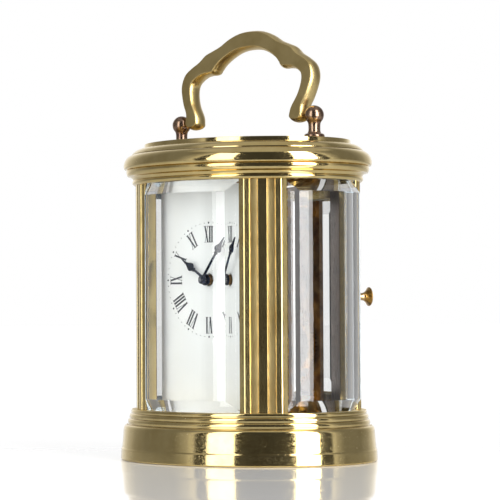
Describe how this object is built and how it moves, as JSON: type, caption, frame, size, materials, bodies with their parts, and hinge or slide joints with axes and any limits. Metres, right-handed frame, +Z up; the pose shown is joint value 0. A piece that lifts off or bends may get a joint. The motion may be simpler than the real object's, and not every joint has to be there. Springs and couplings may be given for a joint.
{
  "type": "carriage clock",
  "caption": "Oval brass carriage clock with grooved corner pillars, curved bevelled glass, white Roman dial, folding top handle, hinged back door and a wound lever movement.",
  "frame": {"origin": "middle of the underside of the base, on the surface the clock stands on", "axes": "+Z up; the dial faces -Y and the door is at +Y; +X is on the right of someone facing the dial"},
  "size_m": [0.0926, 0.0762, 0.1431],
  "materials": {
    "polished_brass": "polished",
    "movement_brass": "satin",
    "bronze": "polished, darkened",
    "steel": "polished",
    "blued_steel": "blued",
    "clear_glass": "bevelled",
    "enamel": "white enamel"
  },
  "bodies": {
    "case": {"base": "polished_brass", "cornice": "polished_brass", "pillar_rear_right": "polished_brass", "pillar_rear_left": "polished_brass", "pillar_front_left": "polished_brass", "pillar_front_right": "polished_brass", "front_plate": "movement_brass", "back_plate": "movement_brass", "plate_pillar_lower_left": "movement_brass", "plate_pillar_lower_right": "movement_brass", "plate_pillar_upper_left": "movement_brass", "plate_pillar_upper_right": "movement_brass", "platform": "movement_brass", "escape_bridge": "movement_brass", "balance_cock": "movement_brass", "handle_post_left": "bronze", "handle_post_right": "bronze", "pillar_screw_rear_right": "steel", "pillar_screw_rear_left": "steel", "pillar_screw_front_left": "steel", "pillar_screw_front_right": "steel", "door_pin_lower": "steel", "door_pin_upper": "steel", "handle_pin_left": "steel", "handle_pin_right": "steel", "movement_screw_left": "steel", "movement_screw_right": "steel", "click_spring": "blued_steel", "hairspring": "blued_steel", "top_glass": "clear_glass", "front_glass": "clear_glass", "left_glass": "clear_glass", "right_glass": "clear_glass", "dial": "enamel"},
    "handle": {"handle": "polished_brass"},
    "door": {"door_frame": "polished_brass", "door_glass": "clear_glass", "door_knob": "polished_brass"},
    "hand_setting": {"centre_arbor": "steel", "cannon_pinion": "steel", "minute_hand": "blued_steel"},
    "hour": {"hour_wheel": "movement_brass", "hour_hand": "blued_steel"},
    "minute_wheel": {"minute_wheel": "movement_brass"},
    "contrate": {"contrate_wheel": "movement_brass", "contrate_arbor": "steel"},
    "third": {"third_wheel": "movement_brass", "third_arbor": "steel"},
    "centre": {"centre_wheel": "movement_brass"},
    "intermediate": {"intermediate_wheel": "movement_brass", "intermediate_arbor": "steel"},
    "barrel": {"barrel": "movement_brass", "mainspring": "blued_steel"},
    "escape": {"escape_wheel": "movement_brass", "escape_arbor": "steel"},
    "lever": {"lever": "steel"},
    "balance": {"balance_wheel": "movement_brass"},
    "winding": {"barrel_arbor": "steel", "ratchet_wheel": "steel"},
    "click": {"click": "steel"}
  },
  "joints": [
    {"name": "handle_fold", "type": "hinge", "parent": "case", "child": "handle", "pos_m": [0, 0, 0.113], "axis": [1, 0, 0], "range_deg": [-91.5, 106.5]},
    {"name": "door_swing", "type": "hinge", "parent": "case", "child": "door", "pos_m": [-0.0209, 0.02622, 0.0542], "axis": [0, 0, 1], "range_deg": [0, 100]},
    {"name": "hand_set", "type": "hinge", "parent": "case", "child": "hand_setting", "pos_m": [0, 0, 0.0597], "axis": [0, 1, 0], "continuous": true},
    {"name": "hour_turn", "type": "hinge", "parent": "case", "child": "hour", "pos_m": [0, -0.017, 0.0597], "axis": [0, 1, 0], "continuous": true},
    {"name": "minute_wheel_turn", "type": "hinge", "parent": "case", "child": "minute_wheel", "pos_m": [0.003, -0.013, 0.0545], "axis": [0, 1, 0], "continuous": true},
    {"name": "contrate_turn", "type": "hinge", "parent": "case", "child": "contrate", "pos_m": [0.007, 0.002, 0.0776], "axis": [0, 1, 0], "continuous": true},
    {"name": "third_turn", "type": "hinge", "parent": "case", "child": "third", "pos_m": [0.00473, 0.002, 0.06941], "axis": [0, 1, 0], "continuous": true},
    {"name": "centre_turn", "type": "hinge", "parent": "case", "child": "centre", "pos_m": [0, -0.007, 0.0597], "axis": [0, 1, 0], "continuous": true},
    {"name": "intermediate_turn", "type": "hinge", "parent": "case", "child": "intermediate", "pos_m": [-0.00717, 0.002, 0.05008], "axis": [0, 1, 0], "continuous": true},
    {"name": "barrel_turn", "type": "hinge", "parent": "case", "child": "barrel", "pos_m": [0.0052, 0.004, 0.0375], "axis": [0, 1, 0], "continuous": true},
    {"name": "escape_turn", "type": "hinge", "parent": "case", "child": "escape", "pos_m": [0.007, 0.00716, 0.0874], "axis": [0, 0, 1], "continuous": true},
    {"name": "lever_rock", "type": "hinge", "parent": "case", "child": "lever", "pos_m": [0.00301, 0.00415, 0.089], "axis": [0, 0, 1], "range_deg": [-5, 5]},
    {"name": "balance_swing", "type": "hinge", "parent": "case", "child": "balance", "pos_m": [-0.0045, -0.0015, 0.0914], "axis": [0, 0, 1], "range_deg": [-135, 135], "stiffness_Nm_per_rad": 0.00002, "deforming": ["hairspring"]},
    {"name": "winding_turn", "type": "hinge", "parent": "case", "child": "winding", "pos_m": [0.0052, 0.016, 0.0375], "axis": [0, -1, 0], "continuous": true},
    {"name": "click_lift", "type": "hinge", "parent": "case", "child": "click", "pos_m": [0.0046, 0.016, 0.0471], "axis": [0, 1, 0], "range_deg": [0, 12], "stiffness_Nm_per_rad": 0.002, "deforming": ["click_spring"]}
  ],
  "couplings": [
    {"joint": "hour_turn", "follows": "hand_set", "ratio": 0.083333},
    {"joint": "minute_wheel_turn", "follows": "hand_set", "ratio": -0.33333},
    {"joint": "third_turn", "follows": "contrate_turn", "ratio": -0.13333},
    {"joint": "centre_turn", "follows": "contrate_turn", "ratio": 0.016667},
    {"joint": "intermediate_turn", "follows": "contrate_turn", "ratio": -0.002381},
    {"joint": "barrel_turn", "follows": "contrate_turn", "ratio": 0.00039683},
    {"joint": "escape_turn", "follows": "contrate_turn", "ratio": 10}
  ]
}
